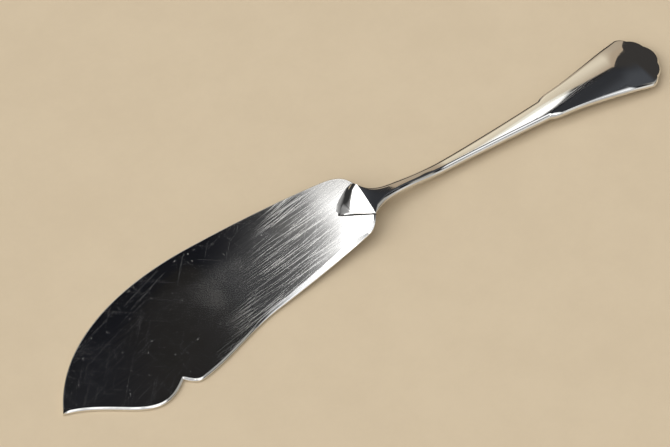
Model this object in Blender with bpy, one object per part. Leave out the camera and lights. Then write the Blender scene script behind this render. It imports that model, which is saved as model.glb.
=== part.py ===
"""Fish server: a thin serving blade with a solid handle lapped on its heel.

Sizes are in millimetres. The server lies on a table, with its length along X, the
handle at +X and the tip of the blade at -X. While the pieces are drawn, X counts from
the heel end of the blade and Y from the middle line of the handle. At the end both
pieces move together, so that the origin is on the table under the middle of the server.
"""

import math

import bmesh
import bpy

MM = 0.001

# Blade in plan, counted from its heel end or from its tip
BLADE_LENGTH = 125.8
TIP_DROP = 13.1
TIP_SPINE_HEADING = -63.0
TIP_EDGE_HEADING = 14.0
TIP_BLUNT = 0.35
HEEL_BLUNT = 0.1
CREST_FROM_HEEL = 57.0
CREST_HEIGHT = 20.1
SPINE_FRONT_PULL = 1.075
SPINE_HEEL_HEADING = 84.0
SPINE_HEEL_PULL = 1.38
SPINE_CORNER_RUN = 8.3
SPINE_CORNER_HEIGHT = 15.6
SPINE_CORNER_HEADING = 11.0
EDGE_HEEL_HEADING = -56.0
EDGE_CORNER_RUN = 6.4
EDGE_CORNER_DROP = 10.8
EDGE_CORNER_HEADING = -9.5
EDGE_BEND_FROM_HEEL = 45.6
EDGE_BEND_DROP = 16.9
EDGE_BEND_HEADING = -8.3
BELLY_FROM_TIP = 44.8
BELLY_DROP = 26.4
BELLY_HEADING = -8.0
NOTCH_FROM_TIP = 39.3
NOTCH_DROP = 23.0
NOTCH_HEEL_SIDE_HEADING = 54.0
NOTCH_TIP_SIDE_HEADING = -38.0
LOBE_FROM_TIP = 29.1
LOBE_DROP = 27.6
OGEE_FROM_TIP = 18.6
OGEE_DROP = 23.4
OGEE_HEADING = 35.0

# Blade in section
BLADE_THICKNESS = 1.4
BLADE_RIM_THICKNESS = 0.75
BLADE_UNDER_CHAMFER = 0.2
RIM_BEVEL = 0.7
CUT_BEVEL_AT_HEEL = 2.8
CUT_BEVEL_AT_TIP = 0.7
CUT_RUN_OUT = 6.0
FLAT_FROM_HEEL = 62.0
HEEL_RISE = 5.0

# Lapped joint between the foot of the handle and the heel of the blade, turned a little in plan.
# The foot is a pointed wedge: a flat table on top, a steep near wall, and on its far side a
# bowed facet that breaks into a thin flare. Thicknesses count from the seat on the blade.
SEAT_GAP = 0.3
HEEL_SKEW = 7.5
RIDGE_HALF = 6.1
FOOT_LENGTH = 10.7
FOOT_APEX_OFFSET = 1.1
FOOT_TIP_HALF = 0.5
FOOT_TIP_THICKNESS = 0.2
FOOT_WALL_SLOPE = 70.0
TABLE_THICKNESS = 0.62
TABLE_ROLL = 2.5
TABLE_RISE = 1.7
TABLE_BULGE = 1.85
TABLE_LEAST_WIDTH = 0.15
FLARE_HALF = 8.8
FLARE_SETBACK = 1.4
FLARE_BULGE = 1.6
FLARE_RIM_THICKNESS = 0.12
BREAK_SHARE = 0.45
BREAK_THICKNESS = 0.3

# Handle in plan, counted from the ridge at the heel or from the end of the handle
HANDLE_LENGTH = 116.5
NECK_HEADING = -45.0
NECK_RUN = 11.5
NECK_HALF = 2.3
NECK_END_HEADING = -2.0
WAIST_FROM_RIDGE = 25.0
WAIST_HALF = 2.2
SHOULDER_FROM_END = 45.8
SHOULDER_HALF = 4.05
SHOULDER_HEADING = 3.5
STEP_RUN = 4.9
STEP_HALF = 5.45
STEP_START_HEADING = 32.0
STEP_END_HEADING = 5.0
CORNER_FROM_END = 9.2
CORNER_HALF = 11.5
CORNER_HEADING = 9.0
OUTER_CUSP_FROM_END = 5.3
OUTER_CUSP_HALF = 9.1
OUTER_CUSP_HEADING = -62.0
INNER_CUSP_FROM_END = 1.7
INNER_CUSP_HALF = 4.4
OUTER_LOBE_BULGE = 0.75
END_BLUNT = 0.12

# Handle in side view and in section: heights of its underside and thicknesses over it
NECK_UNDER = 3.8
NECK_THICKNESS = 2.6
SHAFT_LOW_FROM_RIDGE = 27.0
SHAFT_LOW_UNDER = 1.6
SHAFT_LOW_THICKNESS = 2.7
ARCH_FROM_END = 17.0
ARCH_UNDER = 2.3
ARCH_THICKNESS = 3.0
CORNER_UNDER = 1.7
CORNER_THICKNESS = 3.0
END_UNDER = 0.0
END_THICKNESS = 2.5
RIDGE_CROWN_RADIUS = 200.0
NECK_CROWN_RADIUS = 6.0
WAIST_CROWN_RADIUS = 14.0
SHOULDER_CROWN_RADIUS = 62.0
ARCH_CROWN_RADIUS = 42.0
END_CROWN_RADIUS = 60.0
WAIST_ROLL = 4.0
SHOULDER_ROLL = 4.0
ARCH_ROLL = 2.0
EDGE_FALL_WIDTH = 1.1
EDGE_FALL_SLOPE = 12.0
EDGE_FALL_FROM_RIDGE = 9.0
HANDLE_EDGE_ROUND = 0.7
HANDLE_UNDER_ROUND = 0.9
EDGE_FALL_SHARE = 0.3
LIP_SHARE = 0.3
UNDER_ROUND_SHARE = 0.4

# Fineness of the facets
CURVE_STEPS = 14
ARC_STEPS = 6
FOOT_STEPS = 12
POINT_STEPS = 4
WALL_SPLITS = 3
LEAST_STEP = 0.12
SMOOTH_ANGLE = 25.0
TOP_SPLITS = (0.75, 0.45, 0.15, -0.15, -0.45, -0.75)

SILVER = (0.79, 0.78, 0.76, 1.0)
SILVER_ROUGHNESS = 0.09


def clear_scene():
    """Remove whatever the scene holds."""
    for old in list(bpy.data.objects):
        bpy.data.objects.remove(old, do_unlink=True)


def plated_silver(name):
    """Return a bright polished metal material."""
    material = bpy.data.materials.new(name)
    material.use_nodes = True
    shader = material.node_tree.nodes["Principled BSDF"]
    shader.inputs["Base Color"].default_value = SILVER
    shader.inputs["Metallic"].default_value = 1.0
    shader.inputs["Roughness"].default_value = SILVER_ROUGHNESS
    material.diffuse_color = SILVER
    return material


def flow(start, start_heading, end, end_heading, steps=CURVE_STEPS, pull=1.0):
    """Return points on a cubic that leaves start and reaches end at headings in degrees."""
    reach = pull * math.dist(start, end)
    leave_angle = math.radians(start_heading)
    arrive_angle = math.radians(end_heading)
    points = []
    for step in range(1, steps + 1):
        t = step / steps
        from_start = 2 * t**3 - 3 * t**2 + 1
        from_end = 1 - from_start
        from_leave = reach * (t**3 - 2 * t**2 + t)
        from_arrive = reach * (t**3 - t**2)
        along = from_start * start[0] + from_end * end[0]
        across = from_start * start[1] + from_end * end[1]
        along += from_leave * math.cos(leave_angle) + from_arrive * math.cos(arrive_angle)
        across += from_leave * math.sin(leave_angle) + from_arrive * math.sin(arrive_angle)
        points.append((along, across))
    return points


def bulged(start, end, bulge, steps=ARC_STEPS):
    """Return points on a circular arc whose middle stands off its chord by bulge, to the left."""
    chord = math.dist(start, end)
    radius = (chord**2 / 4 + bulge**2) / (2 * bulge)
    along = ((end[0] - start[0]) / chord, (end[1] - start[1]) / chord)
    left = (-along[1], along[0])
    half_angle = math.asin(chord / (2 * radius))
    points = []
    for step in range(1, steps + 1):
        angle = half_angle * (2 * step / steps - 1)
        run = chord / 2 + radius * math.sin(angle)
        stand = radius * math.cos(angle) - radius + bulge
        points.append(tuple(start[axis] + along[axis] * run + left[axis] * stand for axis in range(2)))
    return points


def smooth_line(knots):
    """Return a function that runs smoothly through (place, value) knots and never overshoots."""
    places = [knot[0] for knot in knots]
    values = [knot[1] for knot in knots]
    spans = [places[i + 1] - places[i] for i in range(len(knots) - 1)]
    slopes = [(values[i + 1] - values[i]) / spans[i] for i in range(len(spans))]
    tangents = [slopes[0]]
    for before, after in zip(slopes, slopes[1:]):
        level = before * after <= 0
        tangents.append(0.0 if level else 2 * before * after / (before + after))
    tangents.append(slopes[-1])

    def value_at(place):
        i = 0
        while i < len(spans) - 1 and place > places[i + 1]:
            i += 1
        t = min(max((place - places[i]) / spans[i], 0.0), 1.0)
        rise = (2 * t**3 - 3 * t**2 + 1) * values[i] + (3 * t**2 - 2 * t**3) * values[i + 1]
        lean = (t**3 - 2 * t**2 + t) * tangents[i] + (t**3 - t**2) * tangents[i + 1]
        return rise + lean * spans[i]

    return value_at


def read_line(points, place):
    """Return the height of a broken line at a place along it."""
    for (x0, y0), (x1, y1) in zip(points, points[1:]):
        if x0 <= place <= x1 and x1 > x0:
            return y0 + (y1 - y0) * (place - x0) / (x1 - x0)
    return points[-1][1] if place > points[-1][0] else points[0][1]


def stations(*lines, first, last):
    """Return the places of all the lines' points from first to last, none too close together."""
    kept = [first]
    for place in sorted(point[0] for line in lines for point in line):
        if place - kept[-1] >= LEAST_STEP and last - place >= LEAST_STEP:
            kept.append(place)
    return kept + [last]


def ridge_end(half):
    """Return where the turned heel line reaches a half width, as (distance from heel, Y)."""
    turn = math.radians(HEEL_SKEW)
    return (-half * math.sin(turn), half * math.cos(turn))


def spine_line():
    """Return the convex upper outline of the blade, as (distance from heel, Y)."""
    heel = ridge_end(RIDGE_HALF)
    corner = (SPINE_CORNER_RUN, SPINE_CORNER_HEIGHT)
    crest = (CREST_FROM_HEEL, CREST_HEIGHT)
    tip = (BLADE_LENGTH, -TIP_DROP)
    line = [heel]
    line += flow(heel, SPINE_HEEL_HEADING, corner, SPINE_CORNER_HEADING, pull=SPINE_HEEL_PULL)
    line += flow(corner, SPINE_CORNER_HEADING, crest, 0.0)
    line += flow(crest, 0.0, tip, TIP_SPINE_HEADING, 2 * CURVE_STEPS, SPINE_FRONT_PULL)
    return line


def edge_line():
    """Return the heel line and the lower outline with its notch and lobe, as (distance from heel, Y)."""
    heel_far = ridge_end(RIDGE_HALF)
    heel = ridge_end(-RIDGE_HALF)
    corner = (EDGE_CORNER_RUN, -EDGE_CORNER_DROP)
    bend = (EDGE_BEND_FROM_HEEL, -EDGE_BEND_DROP)
    belly = (BLADE_LENGTH - BELLY_FROM_TIP, -BELLY_DROP)
    notch = (BLADE_LENGTH - NOTCH_FROM_TIP, -NOTCH_DROP)
    lobe = (BLADE_LENGTH - LOBE_FROM_TIP, -LOBE_DROP)
    ogee = (BLADE_LENGTH - OGEE_FROM_TIP, -OGEE_DROP)
    tip = (BLADE_LENGTH, -TIP_DROP)
    line = [heel_far, heel]
    line += flow(heel, EDGE_HEEL_HEADING, corner, EDGE_CORNER_HEADING)
    line += flow(corner, EDGE_CORNER_HEADING, bend, EDGE_BEND_HEADING)
    line += flow(bend, EDGE_BEND_HEADING, belly, BELLY_HEADING)
    line += flow(belly, BELLY_HEADING, notch, NOTCH_HEEL_SIDE_HEADING)
    line += flow(notch, NOTCH_TIP_SIDE_HEADING, lobe, 0.0)
    line += flow(lobe, 0.0, ogee, OGEE_HEADING)
    line += flow(ogee, OGEE_HEADING, tip, TIP_EDGE_HEADING)
    return line


def blade_under(distance):
    """Return the height of the blade's underside, flat in front and swept up to the heel."""
    short_of_flat = max(0.0, 1.0 - distance / FLAT_FROM_HEEL)
    return HEEL_RISE * short_of_flat**2


def blade_top(distance):
    """Return the height of the blade's upper face."""
    return blade_under(distance) + BLADE_THICKNESS


def blade_ring(distance, low, high):
    """Return one section of the blade: flat below, bevelled to a thin rim above."""
    width = high - low
    floor = blade_under(distance)
    swept = max(0.0, 1.0 - distance / FLAT_FROM_HEEL)
    run_out = min(max((distance - EDGE_CORNER_RUN) / CUT_RUN_OUT, 0.0), 1.0)
    cut = min(CUT_BEVEL_AT_TIP + (CUT_BEVEL_AT_HEEL - CUT_BEVEL_AT_TIP) * swept * run_out, width / 3)
    rim = min(RIM_BEVEL, width / 3)
    under = min(BLADE_UNDER_CHAMFER, width / 6)
    section = [
        (low + under, 0.0),
        (high - under, 0.0),
        (high, under),
        (high, BLADE_RIM_THICKNESS),
        (high - rim, BLADE_THICKNESS),
        (low + cut, BLADE_THICKNESS),
        (low, BLADE_RIM_THICKNESS),
        (low, under),
    ]
    return [(-distance, y, floor + z) for y, z in section]


def half_outline():
    """Return the handle's half width, as (distance from ridge, half width)."""
    ridge = (0.0, RIDGE_HALF)
    neck = (NECK_RUN, NECK_HALF)
    waist = (WAIST_FROM_RIDGE, WAIST_HALF)
    shoulder = (HANDLE_LENGTH - SHOULDER_FROM_END, SHOULDER_HALF)
    step = (shoulder[0] + STEP_RUN, STEP_HALF)
    corner = (HANDLE_LENGTH - CORNER_FROM_END, CORNER_HALF)
    outer_cusp = (HANDLE_LENGTH - OUTER_CUSP_FROM_END, OUTER_CUSP_HALF)
    inner_cusp = (HANDLE_LENGTH - INNER_CUSP_FROM_END, INNER_CUSP_HALF)
    mirrored_cusp = (inner_cusp[0], -INNER_CUSP_HALF)
    line = [ridge]
    line += flow(ridge, NECK_HEADING, neck, NECK_END_HEADING)
    line += flow(neck, NECK_END_HEADING, waist, 0.0, CURVE_STEPS // 2)
    line += flow(waist, 0.0, shoulder, SHOULDER_HEADING)
    line += flow(shoulder, STEP_START_HEADING, step, STEP_END_HEADING, CURVE_STEPS // 2)
    line += flow(step, STEP_END_HEADING, corner, CORNER_HEADING)
    line += flow(corner, CORNER_HEADING, outer_cusp, OUTER_CUSP_HEADING)
    line += bulged(outer_cusp, inner_cusp, OUTER_LOBE_BULGE)
    middle_lobe = bulged(inner_cusp, mirrored_cusp, INNER_CUSP_FROM_END, 2 * ARC_STEPS)
    return line + middle_lobe[:ARC_STEPS]


def handle_section(half, under_at, top_at, lip, fall, under_round):
    """Return one section of the handle, as (Y, Z): a flat underside, round walls and a crowned top.

    Towards each wall the top falls off more steeply over the width of the fall.
    """
    lower = half - under_round
    brow = half - lip
    inner = brow - fall
    drop = fall * math.tan(math.radians(EDGE_FALL_SLOPE))
    section = [
        (-lower, under_at(-lower)),
        (lower, under_at(lower)),
        (half, under_at(half) + under_round),
        (half, top_at(half) - drop - lip),
        (brow, top_at(brow) - drop),
        (inner, top_at(inner)),
    ]
    section += [(share * inner, top_at(share * inner)) for share in TOP_SPLITS]
    section += [
        (-inner, top_at(-inner)),
        (-brow, top_at(-brow) - drop),
        (-half, top_at(-half) - drop - lip),
        (-half, under_at(-half) + under_round),
    ]
    return section


def between(start, end, share):
    """Return the point at a share of the way from start to end."""
    return tuple(first + (last - first) * share for first, last in zip(start, end))


def table_thickness(point):
    """Return how thick the foot is under its flat table at a plan point."""
    roll = math.tan(math.radians(TABLE_ROLL))
    rise = math.tan(math.radians(TABLE_RISE))
    return TABLE_THICKNESS + roll * point[1] - rise * point[0]


def foot_lines():
    """Return the foot's plan lines from apex to ridge: flare rim, break, far and near side of the table."""
    turn = math.radians(HEEL_SKEW)
    apex_far = (-FOOT_LENGTH, FOOT_APEX_OFFSET + FOOT_TIP_HALF)
    apex_near = (-FOOT_LENGTH, FOOT_APEX_OFFSET - FOOT_TIP_HALF)
    ridge_far = (RIDGE_HALF * math.sin(turn), RIDGE_HALF * math.cos(turn))
    ridge_near = (-ridge_far[0], -ridge_far[1])
    flare_end = (FLARE_HALF * math.sin(turn) - FLARE_SETBACK, FLARE_HALF * math.cos(turn))
    break_start = between(apex_near, apex_far, BREAK_SHARE)
    break_end = between(ridge_far, flare_end, BREAK_SHARE)
    shares = [step / FOOT_STEPS for step in range(FOOT_STEPS + 1)]
    flare = [apex_far] + bulged(apex_far, flare_end, FLARE_BULGE, FOOT_STEPS)
    broken = [between(break_start, break_end, share) for share in shares]
    near = [between(apex_near, ridge_near, share) for share in shares]
    table = []
    for step in range(POINT_STEPS + 1):
        width = math.dist(near[step], broken[step])
        wall = FOOT_TIP_THICKNESS + (table_thickness(near[step]) - FOOT_TIP_THICKNESS) * step / POINT_STEPS
        lean = wall / math.tan(math.radians(FOOT_WALL_SLOPE))
        table.append(between(near[step], broken[step], min((lean + TABLE_LEAST_WIDTH) / width, 2 / 3)))
    table += bulged(table[-1], ridge_far, TABLE_BULGE, FOOT_STEPS - POINT_STEPS)
    return flare, broken, table, near


def foot_rings():
    """Return the sections of the faceted foot, which follows the blade it sits on."""
    rings = []
    for step, (rim, edge, table, near) in enumerate(zip(*foot_lines())):
        grown = min(step / POINT_STEPS, 1.0)
        table_top = FOOT_TIP_THICKNESS + (table_thickness(table) - FOOT_TIP_THICKNESS) * grown
        brow_top = FOOT_TIP_THICKNESS + (table_thickness(near) - FOOT_TIP_THICKNESS) * grown
        edge_top = min(BREAK_THICKNESS, table_top)
        width = math.dist(near, table)
        lean = min(brow_top / math.tan(math.radians(FOOT_WALL_SLOPE)), width / 2)
        brow = between(near, table, lean / width)
        top = [(rim, FLARE_RIM_THICKNESS), (edge, edge_top)]
        top.append((between(edge, table, 0.5), (edge_top + table_top) / 2))
        for split in range(len(TOP_SPLITS)):
            share = split / len(TOP_SPLITS)
            top.append((between(table, brow, share), table_top + (brow_top - table_top) * share))
        for split in range(WALL_SPLITS):
            share = split / WALL_SPLITS
            top.append((between(brow, near, share), brow_top * (1 - share)))
        section = [(near, 0.0), (rim, 0.0), (rim, FLARE_RIM_THICKNESS / 2)] + top + [(near, brow_top / 4)]
        rings.append([(x, y, blade_top(-x) + SEAT_GAP + height) for (x, y), height in section])
    return rings


def handle_rings():
    """Return the sections of the whole handle, from the tip of its foot to its scalloped end."""
    outline = half_outline()
    ridge_top = blade_top(0.0) + SEAT_GAP + TABLE_THICKNESS
    shoulder = HANDLE_LENGTH - SHOULDER_FROM_END
    arch = HANDLE_LENGTH - ARCH_FROM_END
    corner = HANDLE_LENGTH - CORNER_FROM_END
    under_line = smooth_line(
        [
            (0.0, HEEL_RISE),
            (NECK_RUN, NECK_UNDER),
            (SHAFT_LOW_FROM_RIDGE, SHAFT_LOW_UNDER),
            (arch, ARCH_UNDER),
            (corner, CORNER_UNDER),
            (HANDLE_LENGTH, END_UNDER),
        ]
    )
    thickness_line = smooth_line(
        [
            (0.0, ridge_top - HEEL_RISE),
            (NECK_RUN, NECK_THICKNESS),
            (SHAFT_LOW_FROM_RIDGE, SHAFT_LOW_THICKNESS),
            (arch, ARCH_THICKNESS),
            (corner, CORNER_THICKNESS),
            (HANDLE_LENGTH, END_THICKNESS),
        ]
    )
    radius_line = smooth_line(
        [
            (0.0, RIDGE_CROWN_RADIUS),
            (NECK_RUN, NECK_CROWN_RADIUS),
            (WAIST_FROM_RIDGE, WAIST_CROWN_RADIUS),
            (shoulder, SHOULDER_CROWN_RADIUS),
            (arch, ARCH_CROWN_RADIUS),
            (HANDLE_LENGTH, END_CROWN_RADIUS),
        ]
    )
    roll_line = smooth_line(
        [
            (0.0, -TABLE_ROLL),
            (NECK_RUN, 0.0),
            (WAIST_FROM_RIDGE, WAIST_ROLL),
            (shoulder, SHOULDER_ROLL),
            (arch, ARCH_ROLL),
            (HANDLE_LENGTH, 0.0),
        ]
    )
    skew_line = smooth_line([(0.0, math.tan(math.radians(HEEL_SKEW))), (NECK_RUN, 0.0)])

    def ring(x, under_at):
        half = read_line(outline, x)
        crown = under_line(x) + thickness_line(x)
        radius = radius_line(x)
        roll = math.tan(math.radians(roll_line(x)))
        lean = skew_line(x)

        def top_at(y):
            return crown - roll * y - y * y / (2 * radius)

        side = min(top_at(sign * half) - under_at(sign * half) for sign in (-1.0, 1.0))
        lip = min(HANDLE_EDGE_ROUND, LIP_SHARE * side, LIP_SHARE * half)
        fall = min(EDGE_FALL_WIDTH, EDGE_FALL_SHARE * half) * min(x / EDGE_FALL_FROM_RIDGE, 1.0)
        under_round = min(HANDLE_UNDER_ROUND, UNDER_ROUND_SHARE * side, UNDER_ROUND_SHARE * half)
        section = handle_section(half, under_at, top_at, lip, fall, under_round)
        return [(x + lean * y, y, z) for y, z in section]

    def lap_under(y):
        lean = skew_line(SEAT_GAP)
        return blade_top(-SEAT_GAP - lean * y) + SEAT_GAP

    rings = foot_rings()
    rings.append(ring(SEAT_GAP, lap_under))
    for x in stations(outline, first=2 * SEAT_GAP, last=HANDLE_LENGTH - END_BLUNT):
        level = under_line(x)
        rings.append(ring(x, lambda y, level=level: level))
    return rings


def loft(name, rings):
    """Return an object whose skin runs from ring to ring and is closed at both ends."""
    mesh = bpy.data.meshes.new(name)
    body = bmesh.new()
    loops = [[body.verts.new([value * MM for value in point]) for point in ring] for ring in rings]
    for before, after in zip(loops, loops[1:]):
        count = len(before)
        for i in range(count):
            j = (i + 1) % count
            body.faces.new((before[i], before[j], after[j], after[i]))
    body.faces.new(list(reversed(loops[0])))
    body.faces.new(loops[-1])
    bmesh.ops.recalc_face_normals(body, faces=body.faces[:])
    bmesh.ops.triangulate(body, faces=body.faces[:])
    body.to_mesh(mesh)
    body.free()
    mesh.shade_smooth()
    mesh.set_sharp_from_angle(angle=math.radians(SMOOTH_ANGLE))
    piece = bpy.data.objects.new(name, mesh)
    bpy.context.scene.collection.objects.link(piece)
    return piece


def make_blade():
    """Return the blade, lofted across its length between spine and edge."""
    spine = spine_line()
    edge = edge_line()
    places = stations(spine, edge, first=spine[0][0] + HEEL_BLUNT, last=BLADE_LENGTH - TIP_BLUNT)
    rings = [blade_ring(place, read_line(edge, place), read_line(spine, place)) for place in places]
    blade = loft("blade", rings)
    blade.data.materials.append(plated_silver("blade_silver"))
    return blade


def make_handle():
    """Return the handle with its neck and foot."""
    handle = loft("handle", handle_rings())
    handle.data.materials.append(plated_silver("handle_silver"))
    return handle


def centre_on_table(pieces):
    """Hang the pieces on one empty, so that the origin is under the middle of the server."""
    corners = [vertex.co for piece in pieces for vertex in piece.data.vertices]
    lows = [min(corner[axis] for corner in corners) for axis in range(3)]
    highs = [max(corner[axis] for corner in corners) for axis in range(3)]
    server = bpy.data.objects.new("server", None)
    bpy.context.scene.collection.objects.link(server)
    server.location = (-(lows[0] + highs[0]) / 2, -(lows[1] + highs[1]) / 2, -lows[2])
    for piece in pieces:
        piece.parent = server


def main():
    """Build the fish server."""
    clear_scene()
    centre_on_table([make_blade(), make_handle()])
    bpy.context.view_layer.update()


main()
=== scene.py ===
"""Looks of the fish server: polished blade and handle on a plain pale board.

Sizes are in millimetres, as a maker would note them, and become metres when a skin is made.
Each piece is drawn with X counted from the heel of the blade, the handle towards +X and the
tip of the blade towards -X, and Y counted from the middle line of the handle.
"""

import logging
import math
from dataclasses import dataclass
from enum import Enum
from typing import Callable, Sequence

import bpy
import numpy as np
from mathutils import Matrix, Vector


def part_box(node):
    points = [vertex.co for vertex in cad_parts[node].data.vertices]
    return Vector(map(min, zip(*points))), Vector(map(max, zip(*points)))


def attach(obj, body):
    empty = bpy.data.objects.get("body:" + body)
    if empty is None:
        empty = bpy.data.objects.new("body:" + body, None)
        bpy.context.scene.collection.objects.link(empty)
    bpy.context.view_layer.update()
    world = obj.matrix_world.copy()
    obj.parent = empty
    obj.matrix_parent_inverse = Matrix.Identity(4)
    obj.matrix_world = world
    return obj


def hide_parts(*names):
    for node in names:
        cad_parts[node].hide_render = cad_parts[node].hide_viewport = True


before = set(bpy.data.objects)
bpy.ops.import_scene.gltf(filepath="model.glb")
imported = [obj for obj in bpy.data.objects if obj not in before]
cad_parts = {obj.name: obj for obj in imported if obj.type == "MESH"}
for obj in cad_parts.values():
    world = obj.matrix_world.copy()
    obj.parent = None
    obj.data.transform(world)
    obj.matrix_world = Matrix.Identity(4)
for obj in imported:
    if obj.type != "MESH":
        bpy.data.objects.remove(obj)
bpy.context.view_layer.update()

MM = 0.001
# painted shade: point attribute for a near-black band along the foot's near side, where shade falls beside
# the blade
SEAM_SHADE = "seam_painted_shade"
TINY = 1e-9  # keeps a length of nothing from being divided by
MERGE_WITHIN = 1e-7  # metres
DEGREES = 180.0 / math.pi
FAR, NEAR = 1.0, -1.0  # the handle's two sides, as the sign of Y
UNDER_SHARE = 3  # the underside has one row of points for this many on top
MID_CELL = 0.48  # where the crossing scratches cut through their noise, as a share of a cell
log = logging.getLogger("fish_server")

Pair = tuple[float, float]
Colour = tuple[float, float, float]
Line = tuple[Pair, ...]
Knots = Sequence[Pair]
Socket = bpy.types.NodeSocket


class Metal(Enum):
    """Names of the record's material slots for the blade and the handle."""

    BLADE = "blade_silver"
    HANDLE = "handle_silver"


class Side(Enum):
    """The two sides of the blade."""

    EDGE = "edge"
    SPINE = "spine"


def slope(degrees: float) -> float:
    """Rise over run of a slope in degrees."""
    return math.tan(math.radians(degrees))


def heading(degrees: float) -> np.ndarray:
    """Unit direction in plan of a heading in degrees."""
    return np.array([math.cos(math.radians(degrees)), math.sin(math.radians(degrees))])


def flow(
    start: Pair, start_heading: float, end: Pair, end_heading: float, step: float, pull: float = 1.0
) -> np.ndarray:
    """Draw a smooth curve between two points.

    Args:
        start: First point.
        start_heading: Heading in degrees in which the curve leaves it.
        end: Last point.
        end_heading: Heading in degrees in which the curve reaches it.
        step: Rough distance between the points drawn.
        pull: How strongly the headings bend the curve.

    Returns:
        The points after the first, one row each.
    """
    first, last = np.array(start), np.array(end)
    chord = float(np.linalg.norm(last - first))
    count = max(int(math.ceil(chord / step)), 2)
    t = np.linspace(0.0, 1.0, count + 1)[1:, None]
    leave, reach = (pull * chord * heading(turn) for turn in (start_heading, end_heading))
    blend = 2 * t**3 - 3 * t**2 + 1
    return blend * first + (1 - blend) * last + (t**3 - 2 * t**2 + t) * leave + (t**3 - t**2) * reach


def bulged(start: Pair, end: Pair, bulge: float, step: float) -> np.ndarray:
    """Draw a circular arc that stands off its chord to the left.

    Args:
        start: First point.
        end: Last point.
        bulge: How far the middle of the arc stands off the chord.
        step: Rough distance between the points drawn.

    Returns:
        The points after the first, one row each.
    """
    first, last = np.array(start), np.array(end)
    chord = float(np.linalg.norm(last - first))
    radius = (chord**2 / 4 + bulge**2) / (2 * bulge)
    along = (last - first) / chord
    left = np.array([-along[1], along[0]])
    count = max(int(math.ceil(chord / step)), 2)
    angle = math.asin(chord / (2 * radius)) * (2 * np.linspace(0.0, 1.0, count + 1)[1:] - 1)
    run = chord / 2 + radius * np.sin(angle)
    stand = radius * np.cos(angle) - radius + bulge
    return first + run[:, None] * along + stand[:, None] * left


def smooth_line(knots: Knots) -> Callable[[np.ndarray], np.ndarray]:
    """Fit a line that runs smoothly through knots and never overshoots.

    Args:
        knots: Pairs of place and value, in order of place.

    Returns:
        A function from places to values.
    """
    places = np.array([knot[0] for knot in knots])
    values = np.array([knot[1] for knot in knots])
    spans = np.diff(places)
    slopes = np.diff(values) / spans
    tangents = [slopes[0]]
    for before, after in zip(slopes, slopes[1:]):
        tangents.append(0.0 if before * after <= 0 else 2 * before * after / (before + after))
    tangents = np.array(tangents + [slopes[-1]])

    def value_at(place: np.ndarray) -> np.ndarray:
        """Read the line.

        Args:
            place: Places to read it at.

        Returns:
            Its values there.
        """
        i = np.clip(np.searchsorted(places, place, side="right") - 1, 0, len(spans) - 1)
        t = np.clip((place - places[i]) / spans[i], 0.0, 1.0)
        rise = (2 * t**3 - 3 * t**2 + 1) * values[i] + (3 * t**2 - 2 * t**3) * values[i + 1]
        lean = (t**3 - 2 * t**2 + t) * tangents[i] + (t**3 - t**2) * tangents[i + 1]
        return rise + lean * spans[i]

    return value_at


def run_share(points: np.ndarray) -> np.ndarray:
    """Give each point's share of the way along a broken line."""
    run = np.concatenate([[0.0], np.cumsum(np.linalg.norm(np.diff(points, axis=0), axis=1))])
    return run / run[-1]


def along_line(points: np.ndarray, share: np.ndarray) -> np.ndarray:
    """Read a broken line at shares of its length."""
    places = run_share(points)
    return np.stack([np.interp(share, places, points[:, axis]) for axis in range(2)], axis=1)


def inward(points: np.ndarray, turn_left: bool) -> np.ndarray:
    """Find the inward direction at each point of an outline.

    Args:
        points: The outline, in order.
        turn_left: Whether the inside lies to the left of the way it runs.

    Returns:
        One unit direction for each point.
    """
    way = np.gradient(points, axis=0)
    way /= np.maximum(np.linalg.norm(way, axis=1, keepdims=True), TINY)
    left = np.stack([-way[:, 1], way[:, 0]], axis=1)
    return left if turn_left else -left


def skin(name: str, rings: np.ndarray, crease: float) -> bpy.types.Object:
    """Roll a sheet into a closed skin that runs from ring to ring.

    Args:
        name: Name of the new piece.
        rings: Points in millimetres, as ring, place around the ring, and axis.
        crease: Angle in degrees above which an edge stays sharp.

    Returns:
        The finished piece, with its place in its mesh.
    """
    count, around, _ = rings.shape
    bpy.ops.object.select_all(action="DESELECT")
    bpy.ops.mesh.primitive_grid_add(x_subdivisions=around, y_subdivisions=count - 1, size=1.0)
    piece = bpy.context.object
    piece.name = name
    piece.data.name = name
    flat = np.empty(len(piece.data.vertices) * 3)
    piece.data.vertices.foreach_get("co", flat)
    flat = flat.reshape(-1, 3)
    across = np.rint((flat[:, 0] + 0.5) * around).astype(int) % around
    down = np.rint((flat[:, 1] + 0.5) * (count - 1)).astype(int)
    piece.data.vertices.foreach_set("co", (rings[down, across] * MM).ravel())
    bpy.ops.object.mode_set(mode="EDIT")
    bpy.ops.mesh.select_all(action="SELECT")
    bpy.ops.mesh.remove_doubles(threshold=MERGE_WITHIN)
    bpy.ops.mesh.fill_holes(sides=0)
    bpy.ops.mesh.select_all(action="SELECT")
    bpy.ops.mesh.normals_make_consistent(inside=False)
    bpy.ops.object.mode_set(mode="OBJECT")
    bpy.ops.object.shade_smooth_by_angle(angle=math.radians(crease))
    return piece


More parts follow.
